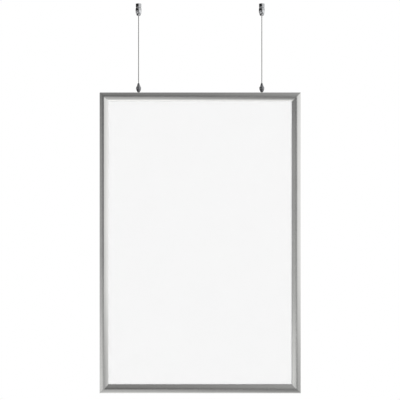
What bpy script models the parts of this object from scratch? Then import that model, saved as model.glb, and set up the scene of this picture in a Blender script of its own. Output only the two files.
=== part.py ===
"""A double-sided snap poster frame that hangs on two taut cables.

Four mitred base rails hold a centre panel, and on each face a poster, a clear cover sheet and four snap
rails, which turn on beads along the outer edges. Two cables run from turned ceiling fittings down to
pear-shaped grippers, whose ball studs carry the frame.

+Z is up and the front faces -Y. The origin is on the ceiling, midway between the two fittings.
Lengths are in metres. A rail's section is drawn in u, inwards from the frame's outer edge, and v,
outwards from the middle of its depth.
"""

import math

import bmesh
import bpy
from mathutils import Matrix, Vector
from mathutils.geometry import tessellate_polygon

# Clearances
SEAT_GAP = 0.0003
SWING_CLEARANCE = 0.0004
CUT_OVERRUN = 0.002

# How far things move
OPEN_ANGLE = math.radians(90)
SWING_ANGLE = math.radians(20)
TILT_ANGLE = math.radians(15)
NIPPLE_TRAVEL = 0.0025

# Poster and the sheets round it
POSTER_WIDTH = 0.6858
POSTER_HEIGHT = 1.0414
POSTER_THICKNESS = 0.0003
COVER_THICKNESS = 0.001
COVER_OVERLAP = 0.0005
PANEL_THICKNESS = 0.003
PANEL_EDGE_GAP = 0.0005
SHEET_EDGE_GAP = 0.0016

# Base rail section
OUTER_WALL = 0.0018
CHAMBER_WIDTH = 0.011
CHAMBER_DEPTH = 0.008
CHAMBER_ROOF = 0.0013
CHAMBER_WALL = 0.0012
LIP_THICKNESS = 0.001
LIP_LENGTH = 0.008
BEAD_RADIUS = 0.0015
NECK_THICKNESS = 0.0012

# Snap rail section
RAIL_WIDTH = 0.031
RAIL_THICKNESS = 0.0013
SOCKET_WALL = 0.0012
CREST_RISE = 0.0049
CREST_PLACE_SHARE = 0.5
OUTER_BULGE = 0.0007
INNER_BULGE = 0.001
GROOVE_WIDTH = 0.0009
GROOVE_DEPTH = 0.0005
GROOVE_FLOOR_SHARE = 0.4
FOOT_WIDTH = 0.0014
EDGE_HEIGHT = 0.0016
SOCKET_START = math.radians(-60)
SOCKET_END = math.radians(150)

# Corner keys and their set screws
KEY_ARM = 0.06
KEY_SCREW_INSET = 0.045
KEY_SCREW_DIAMETER = 0.004
KEY_SCREW_RECESS = 0.0004
HEX_SOCKET_RADIUS = 0.0012
HEX_SOCKET_DEPTH = 0.002

# Leaf springs
SPRING_LENGTH = 0.07
SPRING_WIDTH = 0.005
SPRING_THICKNESS = 0.0005
LONG_RAIL_SPRING_SHARE = 0.25

# Cables and their ball stops
CABLE_SPACING = 0.4407
CABLE_SPAN = 0.241
CABLE_DIAMETER = 0.0025
STOP_WALL = 0.00195
STOP_SEAT_SHARE = 0.77

# Ceiling fittings
BASE_HEIGHT = 0.013
BASE_DIAMETER = 0.0197
SPIGOT_LENGTH = 0.008
SPIGOT_DIAMETER = 0.01
CEILING_SCREW_HOLE = 0.0045
SCREW_HEAD_RECESS = 0.0084
BARREL_HEIGHT = 0.0292
BARREL_DIAMETER = 0.0214
BARREL_SHOULDER_DIAMETER = 0.0192
BARREL_MOUTH_WALL = 0.0009
BARREL_WIDEST_SHARE = 0.3
FITTING_EDGE = 0.0014
THROAT_HEIGHT = 0.0018

# Grippers
NIPPLE_STAND = 0.0075
NIPPLE_DIAMETER = 0.0084
NIPPLE_TIP_DIAMETER = 0.0056
NIPPLE_TAPER = 0.0045
FLANGE_WIDTH = 0.0013
FLANGE_THICKNESS = 0.002
PEAR_HEIGHT = 0.0247
PEAR_DIAMETER = 0.018
PEAR_RIM_WALL = 0.0008
PEAR_FOOT_DIAMETER = 0.0086
PEAR_WIDEST_SHARE = 0.42
PEAR_COLLAR = 0.006
PEAR_CAVITY = 0.0117
CABLE_END_GAP = 0.0003
COIL_WIRE = 0.0008
COIL_TURNS = 4

# Ball studs and hanger blocks
STUD_DIAMETER = 0.003
STUD_BALL_DIAMETER = 0.0056
STUD_INSERT = 0.0037
STUD_SEAT_SHARE = 0.83
BLOCK_LENGTH = 0.03
BLOCK_LIP = 0.0016

# Fineness of round shapes
VISIBLE_SEGMENTS = 24
HIDDEN_SEGMENTS = 16
FACE_STEPS = 14
BEAD_STEPS = 12
CABLE_STEPS = 44
COIL_POINTS_PER_TURN = 10
SMOOTH_ANGLE = math.radians(30)

# Places in the rail section
SOCKET_RADIUS = BEAD_RADIUS + SEAT_GAP + SOCKET_WALL
ROOF_V = CHAMBER_DEPTH / 2 + CHAMBER_ROOF
HINGE_U = SOCKET_RADIUS
HINGE_V = ROOF_V + SEAT_GAP + SOCKET_RADIUS
CHAMBER_IN_U = OUTER_WALL + CHAMBER_WIDTH
CHAMBER_MID_U = OUTER_WALL + CHAMBER_WIDTH / 2
LIP_ROOT_U = CHAMBER_IN_U + CHAMBER_WALL
LIP_END_U = LIP_ROOT_U + LIP_LENGTH
SLOT_V = PANEL_THICKNESS / 2 + SEAT_GAP
LIP_V = SLOT_V + LIP_THICKNESS
POSTER_V = LIP_V + SEAT_GAP
COVER_V = POSTER_V + POSTER_THICKNESS + SEAT_GAP
FOOT_V = COVER_V + COVER_THICKNESS + SEAT_GAP
CREST_V = HINGE_V + CREST_RISE
MITRE_GAP = SEAT_GAP / math.sqrt(2)

# Overall sizes
COVER_EDGE_U = LIP_ROOT_U + SHEET_EDGE_GAP
POSTER_MARGIN = COVER_EDGE_U + COVER_OVERLAP
FRAME_WIDTH = POSTER_WIDTH + 2 * POSTER_MARGIN
FRAME_HEIGHT = POSTER_HEIGHT + 2 * POSTER_MARGIN

# Heights of the ceiling fitting and the ball stop, down from the ceiling
CABLE_RADIUS = CABLE_DIAMETER / 2
CABLE_BORE = CABLE_RADIUS + SEAT_GAP
BARREL_TOP_Z = -(BASE_HEIGHT + SEAT_GAP)
BARREL_BOTTOM_Z = BARREL_TOP_Z - BARREL_HEIGHT
STOP_RADIUS = CABLE_BORE + STOP_WALL
STOP_SEAT_RADIUS = STOP_RADIUS + SEAT_GAP
THROAT_RADIUS = STOP_RADIUS * STOP_SEAT_SHARE
THROAT_Z = BARREL_BOTTOM_Z + THROAT_HEIGHT
SWING_Z = THROAT_Z + math.sqrt(STOP_SEAT_RADIUS ** 2 - THROAT_RADIUS ** 2)
MOUTH_RADIUS = THROAT_RADIUS + THROAT_HEIGHT * math.tan(SWING_ANGLE)
CABLE_TOP_Z = SWING_Z + math.sqrt(STOP_RADIUS ** 2 - CABLE_BORE ** 2)

# Heights of the gripper
NIPPLE_TOP_Z = BARREL_BOTTOM_Z - CABLE_SPAN
PEAR_TOP_Z = NIPPLE_TOP_Z - NIPPLE_STAND
PEAR_BOTTOM_Z = PEAR_TOP_Z - PEAR_HEIGHT
COLLAR_Z = PEAR_TOP_Z - PEAR_COLLAR
FLANGE_TOP_Z = COLLAR_Z - SEAT_GAP
FLANGE_BOTTOM_Z = FLANGE_TOP_Z - FLANGE_THICKNESS
CAVITY_FLOOR_Z = COLLAR_Z - PEAR_CAVITY
CABLE_END_Z = CAVITY_FLOOR_Z + CABLE_END_GAP
NIPPLE_RADIUS = NIPPLE_DIAMETER / 2
FLANGE_RADIUS = NIPPLE_RADIUS + FLANGE_WIDTH

# Heights of the ball stud. The gap under the pear lets it tilt without touching the rail.
STUD_RADIUS = STUD_DIAMETER / 2
STUD_BALL_RADIUS = STUD_BALL_DIAMETER / 2
STUD_SEAT_RADIUS = STUD_BALL_RADIUS + SEAT_GAP
STUD_THROAT_RADIUS = STUD_BALL_RADIUS * STUD_SEAT_SHARE
STUD_THROAT_RISE = math.sqrt(STUD_SEAT_RADIUS ** 2 - STUD_THROAT_RADIUS ** 2)
BLOCK_TOP_RISE = STUD_THROAT_RISE + BLOCK_LIP
FRAME_TOP_RISE = BLOCK_TOP_RISE + SEAT_GAP + OUTER_WALL
PEAR_FOOT_RADIUS = PEAR_FOOT_DIAMETER / 2
PEAR_FOOT_DIP = PEAR_FOOT_RADIUS * math.sin(TILT_ANGLE)
PEAR_FOOT_RISE = (FRAME_TOP_RISE + SWING_CLEARANCE + PEAR_FOOT_DIP) / math.cos(TILT_ANGLE)
TILT_Z = PEAR_BOTTOM_Z - PEAR_FOOT_RISE
FRAME_TOP_Z = TILT_Z + FRAME_TOP_RISE
FRAME_MID_Z = FRAME_TOP_Z - FRAME_HEIGHT / 2
STUD_HOLE_RADIUS = STUD_RADIUS / math.cos(TILT_ANGLE) + FRAME_TOP_RISE * math.tan(TILT_ANGLE) + SEAT_GAP

INWARD = {
    "top": Vector((0, 0, -1)),
    "bottom": Vector((0, 0, 1)),
    "left": Vector((1, 0, 0)),
    "right": Vector((-1, 0, 0)),
}
OUTWARD = {"front": Vector((0, -1, 0)), "back": Vector((0, 1, 0))}
SIDE_X = {"left": -CABLE_SPACING / 2, "right": CABLE_SPACING / 2}


# Plane geometry

def on_circle(centre, radius, angle):
    return (centre[0] + radius * math.cos(angle), centre[1] + radius * math.sin(angle))


def arc(centre, radius, start, end, steps):
    """Points on a circle from the angle start to the angle end, both included."""
    return [on_circle(centre, radius, start + (end - start) * i / steps) for i in range(steps + 1)]


def angle_of(centre, point):
    return math.atan2(point[1] - centre[1], point[0] - centre[0])


def bowed_circle(start, end, bulge):
    """Centre and radius of the circle through start and end that rises by bulge over their chord."""
    half = math.dist(start, end) / 2
    radius = (half ** 2 + bulge ** 2) / (2 * bulge)
    along = ((end[0] - start[0]) / (2 * half), (end[1] - start[1]) / (2 * half))
    middle = ((start[0] + end[0]) / 2, (start[1] + end[1]) / 2)
    drop = radius - bulge
    return (middle[0] + along[1] * drop, middle[1] - along[0] * drop), radius


def right_crossing(centre_a, radius_a, centre_b, radius_b):
    """Where two circles cross, on the right of the way from the first centre to the second."""
    span = math.dist(centre_a, centre_b)
    ahead = (radius_a ** 2 - radius_b ** 2 + span ** 2) / (2 * span)
    aside = math.sqrt(radius_a ** 2 - ahead ** 2)
    way = ((centre_b[0] - centre_a[0]) / span, (centre_b[1] - centre_a[1]) / span)
    return (
        centre_a[0] + ahead * way[0] + aside * way[1],
        centre_a[1] + ahead * way[1] - aside * way[0],
    )


def rectangle(low, high):
    return [(low[0], low[1]), (high[0], low[1]), (high[0], high[1]), (low[0], high[1])]


# Objects

def finish(name, colour, metallic, roughness, alpha=1.0):
    material = bpy.data.materials.new(name)
    material.use_nodes = True
    shader = material.node_tree.nodes["Principled BSDF"]
    shader.inputs["Base Color"].default_value = (*colour, 1)
    shader.inputs["Metallic"].default_value = metallic
    shader.inputs["Roughness"].default_value = roughness
    shader.inputs["Alpha"].default_value = alpha
    return material


def pivot(name, place, parent=None):
    """An empty on a joint's axis, which carries the pieces that turn about it."""
    empty = bpy.data.objects.new(name, None)
    bpy.context.collection.objects.link(empty)
    empty.parent = parent
    empty.location = place - (world_place(parent) if parent else Vector())
    return empty


def world_place(empty):
    place = empty.location.copy()
    while empty.parent:
        empty = empty.parent
        place += empty.location
    return place


def add(name, data, material, parent=None, where=None):
    """Links an object to the scene at the world matrix where, under the unturned empty parent."""
    thing = bpy.data.objects.new(name, data)
    bpy.context.collection.objects.link(thing)
    if not data.materials:
        data.materials.append(material)
    thing.parent = parent
    shift = Matrix.Translation(-world_place(parent)) if parent else Matrix()
    thing.matrix_basis = shift @ (where or Matrix())
    return thing


def cut(thing, name, data, where=None):
    """Cuts data out of thing. The cutter rides on thing, at the matrix where in its space."""
    cutter = bpy.data.objects.new(name, data)
    bpy.context.collection.objects.link(cutter)
    cutter.parent = thing
    cutter.matrix_basis = where or Matrix()
    cutter.hide_render = True
    cutter.display_type = "WIRE"
    hole = thing.modifiers.new(name, "BOOLEAN")
    hole.operation = "DIFFERENCE"
    hole.solver = "EXACT"
    hole.object = cutter


def mesh_from(bm, name, smooth=True):
    bmesh.ops.recalc_face_normals(bm, faces=bm.faces[:])
    mesh = bpy.data.meshes.new(name)
    bm.to_mesh(mesh)
    bm.free()
    if smooth:
        mesh.shade_smooth()
        mesh.set_sharp_from_angle(angle=SMOOTH_ANGLE)
    return mesh


def bar(name, loops, end_at):
    """A bar along X between +-end_at(y, z). Its section is the loops of (y, z), holes last."""
    points = [point for loop in loops for point in loop]
    bm = bmesh.new()
    corners = [bm.verts.new((0, *point)) for point in points]
    for triangle in tessellate_polygon([[Vector((*point, 0)) for point in loop] for loop in loops]):
        bm.faces.new([corners[i] for i in triangle])
    far = bmesh.ops.extrude_face_region(bm, geom=bm.faces[:], use_keep_orig=True)["geom"]
    for corner in bm.verts:
        corner.co.x = -end_at(corner.co.y, corner.co.z)
    for corner in far:
        if isinstance(corner, bmesh.types.BMVert):
            corner.co.x = -corner.co.x
    return mesh_from(bm, name)


def box(name, size):
    bm = bmesh.new()
    bmesh.ops.create_cube(bm, size=1)
    bmesh.ops.scale(bm, verts=bm.verts[:], vec=size)
    return mesh_from(bm, name, smooth=False)


def turned(name, profile, segments):
    """A solid turned about Z from (radius, z) points, which close on themselves or on the axis."""
    bm = bmesh.new()
    corners = [bm.verts.new((radius, 0, z)) for radius, z in profile]
    closed = min(profile[0][0], profile[-1][0]) > 0
    pairs = list(zip(corners, corners[1:] + corners[:1]))
    edges = [bm.edges.new(pair) for pair in (pairs if closed else pairs[:-1])]
    bmesh.ops.spin(
        bm, geom=corners + edges, axis=(0, 0, 1), cent=(0, 0, 0), angle=2 * math.pi, steps=segments
    )
    bmesh.ops.remove_doubles(bm, verts=bm.verts[:], dist=SEAT_GAP / segments)
    return mesh_from(bm, name)


def tube(name, points, radius, resolution):
    """A round tube with filled ends along a row of points."""
    curve = bpy.data.curves.new(name, "CURVE")
    curve.dimensions = "3D"
    curve.bevel_depth = radius
    curve.bevel_resolution = resolution
    curve.use_fill_caps = True
    run = curve.splines.new("POLY")
    run.points.add(len(points) - 1)
    for spot, point in zip(run.points, points):
        spot.co = (*point, 1)
    return curve


# Where the rails lie

def rail_length(side):
    return FRAME_WIDTH if side in ("top", "bottom") else FRAME_HEIGHT


def rail_matrix(side, face, u=0, v=0):
    """Axes at a point of a rail's middle section: X along it, Y inwards, Z outwards from the frame."""
    inward, outward = INWARD[side], OUTWARD[face]
    reach = FRAME_HEIGHT if side in ("top", "bottom") else FRAME_WIDTH
    place = Vector((0, 0, FRAME_MID_Z)) - inward * (reach / 2) + inward * u + outward * v
    turn = Matrix((inward.cross(outward), inward, outward)).transposed().to_4x4()
    return Matrix.Translation(place) @ turn


# Base rails

def base_section():
    """Two loops: the outline with its two beads and the panel slot, and the corner key chamber."""
    neck = NECK_THICKNESS / 2
    turn = math.asin(neck / BEAD_RADIUS)
    bead = arc((HINGE_U, HINGE_V), BEAD_RADIUS, 1.5 * math.pi - turn, turn - math.pi / 2, BEAD_STEPS)
    upper = [
        (0, ROOF_V),
        (HINGE_U - neck, ROOF_V),
        *bead,
        (HINGE_U + neck, ROOF_V),
        (LIP_ROOT_U, ROOF_V),
        (LIP_ROOT_U, LIP_V),
        (LIP_END_U, LIP_V),
        (LIP_END_U, SLOT_V),
        (LIP_ROOT_U, SLOT_V),
    ]
    lower = [(u, -v) for u, v in reversed(upper)]
    chamber = rectangle((OUTER_WALL, -CHAMBER_DEPTH / 2), (CHAMBER_IN_U, CHAMBER_DEPTH / 2))
    return [upper + lower, chamber]


def drill(name, radius, low, high, segments=HIDDEN_SEGMENTS):
    """A plain round cutter along Z."""
    return turned(name, [(0, high), (radius, high), (radius, low), (0, low)], segments)


def make_base_rails(aluminium, frame):
    screw_hole = drill(
        "key_screw_access", KEY_SCREW_DIAMETER / 2 + SEAT_GAP, 0, ROOF_V + CUT_OVERRUN
    )
    stud_hole = drill("stud_access", STUD_HOLE_RADIUS, -CUT_OVERRUN, CHAMBER_MID_U, VISIBLE_SEGMENTS)
    for side in INWARD:
        length = rail_length(side)
        mesh = bar(f"base_rail_{side}", base_section(), lambda u, v: length / 2 - u - MITRE_GAP)
        rail = add(mesh.name, mesh, aluminium, frame, rail_matrix(side, "front"))
        for end in (-1, 1):
            place = (end * (length / 2 - KEY_SCREW_INSET), CHAMBER_MID_U, 0)
            cut(rail, f"screw_access_{side}_{end}", screw_hole, Matrix.Translation(place))
        if side == "top":
            for hand, x in SIDE_X.items():
                turn = Matrix.Rotation(-math.pi / 2, 4, "X")
                cut(rail, f"stud_access_{hand}", stud_hole, Matrix.Translation((x, 0, 0)) @ turn)


# Snap rails

def outer_face():
    """Centre and radius of the snap rail's outer arc, and its two ends in the section."""
    start = on_circle((HINGE_U, HINGE_V), SOCKET_RADIUS, SOCKET_END)
    end = (RAIL_WIDTH * CREST_PLACE_SHARE - GROOVE_WIDTH / 2, CREST_V)
    return *bowed_circle(start, end, OUTER_BULGE), start, end


def inner_face():
    """The same for the arc that falls from the crest to the inner edge."""
    start = (RAIL_WIDTH * CREST_PLACE_SHARE + GROOVE_WIDTH / 2, CREST_V)
    end = (RAIL_WIDTH, FOOT_V + EDGE_HEIGHT)
    return *bowed_circle(start, end, INNER_BULGE), start, end


def snap_section():
    """The snap rail's section, round from the socket's mouth over the two faces and back underneath."""
    hinge = (HINGE_U, HINGE_V)
    bore = BEAD_RADIUS + SEAT_GAP
    outer_centre, outer_radius, outer_start, outer_end = outer_face()
    inner_centre, inner_radius, inner_start, inner_end = inner_face()
    crest_u = RAIL_WIDTH * CREST_PLACE_SHARE
    floor = GROOVE_WIDTH * GROOVE_FLOOR_SHARE / 2
    foot_u = RAIL_WIDTH - FOOT_WIDTH
    under_outer, under_inner = outer_radius - RAIL_THICKNESS, inner_radius - RAIL_THICKNESS
    foot_angle = math.acos((foot_u - inner_centre[0]) / under_inner)
    joined = right_crossing(outer_centre, under_outer, hinge, SOCKET_RADIUS)
    return (
        arc(hinge, bore, SOCKET_START, SOCKET_END, BEAD_STEPS)
        + arc(
            outer_centre,
            outer_radius,
            angle_of(outer_centre, outer_start),
            angle_of(outer_centre, outer_end),
            FACE_STEPS,
        )
        + [(crest_u - floor, CREST_V - GROOVE_DEPTH), (crest_u + floor, CREST_V - GROOVE_DEPTH)]
        + arc(
            inner_centre,
            inner_radius,
            angle_of(inner_centre, inner_start),
            angle_of(inner_centre, inner_end),
            FACE_STEPS,
        )
        + [(RAIL_WIDTH, FOOT_V), (foot_u, FOOT_V)]
        + arc(inner_centre, under_inner, foot_angle, angle_of(inner_centre, inner_start), FACE_STEPS)
        + arc(
            outer_centre,
            under_outer,
            angle_of(outer_centre, outer_end),
            angle_of(outer_centre, joined),
            FACE_STEPS,
        )
        + arc(hinge, SOCKET_RADIUS, angle_of(hinge, joined), SOCKET_START, BEAD_STEPS // 2)[1:]
    )


def swing_in(u, v):
    """How far inwards a point of a snap rail comes while the rail opens, past where it is when shut."""
    reach = math.hypot(u - HINGE_U, v - HINGE_V)
    start = math.atan2(v - HINGE_V, u - HINGE_U)
    end = start + OPEN_ANGLE
    furthest = reach if start < 0 < end else reach * max(math.cos(start), math.cos(end))
    return furthest - (u - HINGE_U)


def make_snap_rails(aluminium, frame):
    section = [(u - HINGE_U, v - HINGE_V) for u, v in snap_section()]
    for side in INWARD:
        half = rail_length(side) / 2

        def end_at(y, z):
            u, v = y + HINGE_U, z + HINGE_V
            return half - u - MITRE_GAP - swing_in(u, v)

        mesh = bar(f"snap_rail_{side}", [section], end_at)
        for face in OUTWARD:
            where = rail_matrix(side, face, HINGE_U, HINGE_V)
            add(f"snap_rail_{face}_{side}", mesh, aluminium, frame, where)


# Leaf springs

def under_face_v(u):
    """Height of the underside of a snap rail's outer face at u."""
    centre, radius, _, _ = outer_face()
    return centre[1] + math.sqrt((radius - RAIL_THICKNESS) ** 2 - (u - centre[0]) ** 2)


def spring_mesh():
    """A bowed strip, its ends on the base rail's roof and its middle against the snap rail."""
    start_u = HINGE_U + SOCKET_RADIUS + SEAT_GAP
    end_u = start_u + SPRING_WIDTH
    low = ROOF_V + SEAT_GAP
    high = min(under_face_v(start_u), under_face_v(end_u)) - SEAT_GAP
    centre, radius = bowed_circle(
        (-SPRING_LENGTH / 2, low), (SPRING_LENGTH / 2, low), high - SPRING_THICKNESS - low
    )
    left, right = (angle_of(centre, (x, low)) for x in (-SPRING_LENGTH / 2, SPRING_LENGTH / 2))
    strip = arc(centre, radius, left, right, FACE_STEPS)
    strip += arc(centre, radius + SPRING_THICKNESS, right, left, FACE_STEPS)
    # The strip's outline is drawn in (x, v) and runs across the rail in u, as a bar along X does.
    mesh = bar("leaf_spring", [strip], lambda x, v: SPRING_WIDTH / 2)
    mesh.transform(Matrix(((0, 1, 0, 0), (-1, 0, 0, 0), (0, 0, 1, 0), (0, 0, 0, 1))))
    mesh.transform(Matrix.Translation((0, start_u + SPRING_WIDTH / 2, 0)))
    return mesh


def make_leaf_springs(steel, frame):
    mesh = spring_mesh()
    for face in OUTWARD:
        for side in INWARD:
            where = rail_matrix(side, face)
            if side in ("top", "bottom"):
                add(f"leaf_spring_{face}_{side}", mesh, steel, frame, where)
                continue
            for level, up in (("upper", 1), ("lower", -1)):
                shift = Vector((0, 0, up * FRAME_HEIGHT * LONG_RAIL_SPRING_SHARE))
                place = Matrix.Translation(shift) @ where
                add(f"leaf_spring_{face}_{side}_{level}", mesh, steel, frame, place)


# Corner keys

def key_section():
    """An L from the frame's corner, whose two axes run inwards along the rails, with two holes."""
    near, far = OUTER_WALL + SEAT_GAP, CHAMBER_IN_U - SEAT_GAP
    across = [(near, near), (KEY_ARM, near), (KEY_ARM, far)]
    outline = [*across, (far, far), (far, KEY_ARM), (near, KEY_ARM)]
    hole = KEY_SCREW_DIAMETER / 2 + SEAT_GAP
    step = 2 * math.pi / HIDDEN_SEGMENTS
    holes = [
        arc(place, hole, 0, 2 * math.pi - step, HIDDEN_SEGMENTS - 1)
        for place in ((KEY_SCREW_INSET, CHAMBER_MID_U), (CHAMBER_MID_U, KEY_SCREW_INSET))
    ]
    return [outline, *holes]


def screw_mesh():
    """A set screw with a hexagon socket, its axis on Z and its tip down."""
    length = CHAMBER_DEPTH - 2 * SEAT_GAP - KEY_SCREW_RECESS
    tip = -CHAMBER_DEPTH / 2 + SEAT_GAP
    radius = KEY_SCREW_DIAMETER / 2
    shank = [(radius, tip + length), (radius, tip + radius / 2), (radius / 2, tip)]
    profile = [(0, tip + length), *shank, (0, tip)]
    return turned("key_screw", profile, HIDDEN_SEGMENTS), tip + length


def make_corner_keys(zinc, steel, frame):
    thickness = CHAMBER_DEPTH - 2 * SEAT_GAP
    key = bar("corner_key", key_section(), lambda u, v: thickness / 2)
    screw, screw_top = screw_mesh()
    socket_low, socket_high = screw_top - HEX_SOCKET_DEPTH, screw_top + CUT_OVERRUN
    socket = drill("hex_socket", HEX_SOCKET_RADIUS, socket_low, socket_high, 6)
    middle = Vector((0, 0, FRAME_MID_Z))
    for level in ("top", "bottom"):
        for hand in ("left", "right"):
            along, down = INWARD[hand], INWARD[level]
            corner = middle - along * (FRAME_WIDTH / 2) - down * (FRAME_HEIGHT / 2)
            # The key's own Y runs along one rail and Z along the other, and X is the frame's depth.
            first, second = (along, down) if along.cross(down).y < 0 else (down, along)
            turn = Matrix((first.cross(second), first, second)).transposed().to_4x4()
            add(f"corner_key_{level}_{hand}", key, zinc, frame, Matrix.Translation(corner) @ turn)
            for name, first_in, second_in in (
                (f"key_screw_{level}_{hand}_across", KEY_SCREW_INSET, CHAMBER_MID_U),
                (f"key_screw_{level}_{hand}_upright", CHAMBER_MID_U, KEY_SCREW_INSET),
            ):
                place = corner + along * first_in + down * second_in
                where = Matrix.Translation(place) @ Matrix.Rotation(math.pi / 2, 4, "X")
                body = add(name, screw, steel, frame, where)
                cut(body, f"{name}_socket", socket)


# Panel, posters and cover sheets

def make_sheets(board, paper, clear, frame):
    centre = Matrix.Translation((0, 0, FRAME_MID_Z))
    panel_trim = 2 * (LIP_ROOT_U + PANEL_EDGE_GAP)
    panel_size = (FRAME_WIDTH - panel_trim, PANEL_THICKNESS, FRAME_HEIGHT - panel_trim)
    add("centre_panel", box("centre_panel", panel_size), board, frame, centre)
    poster = box("poster", (POSTER_WIDTH, POSTER_THICKNESS, POSTER_HEIGHT))
    cover_size = (FRAME_WIDTH - 2 * COVER_EDGE_U, COVER_THICKNESS, FRAME_HEIGHT - 2 * COVER_EDGE_U)
    cover = box("cover_sheet", cover_size)
    for face, outward in OUTWARD.items():
        lift = Matrix.Translation(outward * (POSTER_V + POSTER_THICKNESS / 2))
        add(f"poster_{face}", poster, paper, frame, lift @ centre)
        lift = Matrix.Translation(outward * (COVER_V + COVER_THICKNESS / 2))
        add(f"cover_sheet_{face}", cover, clear, frame, lift @ centre)


# Ceiling fittings

def ceiling_base_profile():
    rim, spigot = BASE_DIAMETER / 2, SPIGOT_DIAMETER / 2
    hole, recess = CEILING_SCREW_HOLE / 2, SCREW_HEAD_RECESS / 2
    bottom = -BASE_HEIGHT
    spigot_end = bottom - SPIGOT_LENGTH
    return [
        (hole, 0),
        (rim, 0),
        (rim, bottom + FITTING_EDGE),
        (rim - FITTING_EDGE, bottom),
        (spigot, bottom),
        (spigot, spigot_end),
        (recess, spigot_end),
        (hole, spigot_end + recess - hole),
    ]


def barrel_profile():
    """An acorn: a shoulder under the base, its widest ring, and a rounded fall to the cable's mouth."""
    shoulder, widest = BARREL_SHOULDER_DIAMETER / 2, BARREL_DIAMETER / 2
    foot = MOUTH_RADIUS + BARREL_MOUTH_WALL
    widest_z = BARREL_TOP_Z - BARREL_HEIGHT * BARREL_WIDEST_SHARE
    shoulder_z = BARREL_TOP_Z - FITTING_EDGE
    steps = FACE_STEPS // 2
    outside = [(shoulder - FITTING_EDGE, BARREL_TOP_Z)]
    for i in range(steps):
        swell = math.sin(math.pi / 2 * i / steps)
        level = shoulder_z + (widest_z - shoulder_z) * i / steps
        outside.append((shoulder + (widest - shoulder) * swell, level))
    for i in range(steps + 1):
        turn = math.pi / 2 * i / steps
        level = widest_z + (BARREL_BOTTOM_Z - widest_z) * math.sin(turn)
        outside.append((foot + (widest - foot) * math.cos(turn), level))
    throat = math.pi - math.asin(THROAT_RADIUS / STOP_SEAT_RADIUS)
    seat = ball(STOP_SEAT_RADIUS, SWING_Z, throat, math.pi / 2, steps)
    thread = SPIGOT_DIAMETER / 2 + SEAT_GAP
    thread_end = BARREL_TOP_Z - SPIGOT_LENGTH
    inside = [(MOUTH_RADIUS, BARREL_BOTTOM_Z), *seat, (STOP_SEAT_RADIUS, thread_end)]
    return outside + inside + [(thread, thread_end), (thread, BARREL_TOP_Z)]


def ball(radius, centre_z, start, end, steps):
    """Points down a ball's outer side, between two angles from its top."""
    turns = [start + (end - start) * i / steps for i in range(steps + 1)]
    return [(radius * math.sin(turn), centre_z + radius * math.cos(turn)) for turn in turns]


def make_ceiling_fittings(chrome):
    base = turned("ceiling_base", ceiling_base_profile(), VISIBLE_SEGMENTS)
    barrel = turned("ceiling_barrel", barrel_profile(), VISIBLE_SEGMENTS)
    for hand, x in SIDE_X.items():
        add(f"ceiling_base_{hand}", base, chrome, None, Matrix.Translation((x, 0, 0)))
        add(f"ceiling_barrel_{hand}", barrel, chrome, None, Matrix.Translation((x, 0, 0)))


# Cables and grippers

def nipple_profile():
    return [
        (CABLE_BORE, NIPPLE_TOP_Z),
        (NIPPLE_TIP_DIAMETER / 2, NIPPLE_TOP_Z),
        (NIPPLE_RADIUS, NIPPLE_TOP_Z - NIPPLE_TAPER),
        (NIPPLE_RADIUS, FLANGE_TOP_Z),
        (FLANGE_RADIUS, FLANGE_TOP_Z),
        (FLANGE_RADIUS, FLANGE_BOTTOM_Z),
        (CABLE_BORE, FLANGE_BOTTOM_Z),
    ]


def pear_profile():
    """From the spring cavity's floor up to the rim, down the outside, and up the stud's hole."""
    bore, cavity = NIPPLE_RADIUS + SEAT_GAP, FLANGE_RADIUS + SEAT_GAP
    inside = [(0, CAVITY_FLOOR_Z), (cavity, CAVITY_FLOOR_Z), (cavity, COLLAR_Z)]
    inside += [(bore, COLLAR_Z), (bore, PEAR_TOP_Z)]
    rim, widest = bore + PEAR_RIM_WALL, PEAR_DIAMETER / 2
    widest_z = PEAR_TOP_Z - PEAR_HEIGHT * PEAR_WIDEST_SHARE
    steps = FACE_STEPS // 2
    outside = []
    for i in range(steps):
        swell = math.sin(math.pi / 2 * i / steps) ** 2
        level = PEAR_TOP_Z + (widest_z - PEAR_TOP_Z) * i / steps
        outside.append((rim + (widest - rim) * swell, level))
    for i in range(steps + 1):
        swell = math.cos(math.pi / 2 * i / steps)
        level = widest_z + (PEAR_BOTTOM_Z - widest_z) * i / steps
        outside.append((PEAR_FOOT_RADIUS + (widest - PEAR_FOOT_RADIUS) * swell, level))
    hole = STUD_RADIUS + SEAT_GAP
    hole_end = PEAR_BOTTOM_Z + STUD_INSERT + SEAT_GAP
    return inside + outside + [(hole, PEAR_BOTTOM_Z), (hole, hole_end), (0, hole_end)]


def stud_profile():
    """A plain shank that ends in a ball."""
    top = PEAR_BOTTOM_Z + STUD_INSERT
    neck = math.asin(STUD_RADIUS / STUD_BALL_RADIUS)
    return [(0, top), (STUD_RADIUS, top), *ball(STUD_BALL_RADIUS, TILT_Z, neck, math.pi, FACE_STEPS // 2)]


def coil_points(top, bottom, radius):
    count = COIL_TURNS * COIL_POINTS_PER_TURN
    turns = [2 * math.pi * i / COIL_POINTS_PER_TURN for i in range(count + 1)]
    return [
        (radius * math.cos(turn), radius * math.sin(turn), top + (bottom - top) * i / count)
        for i, turn in enumerate(turns)
    ]


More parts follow.
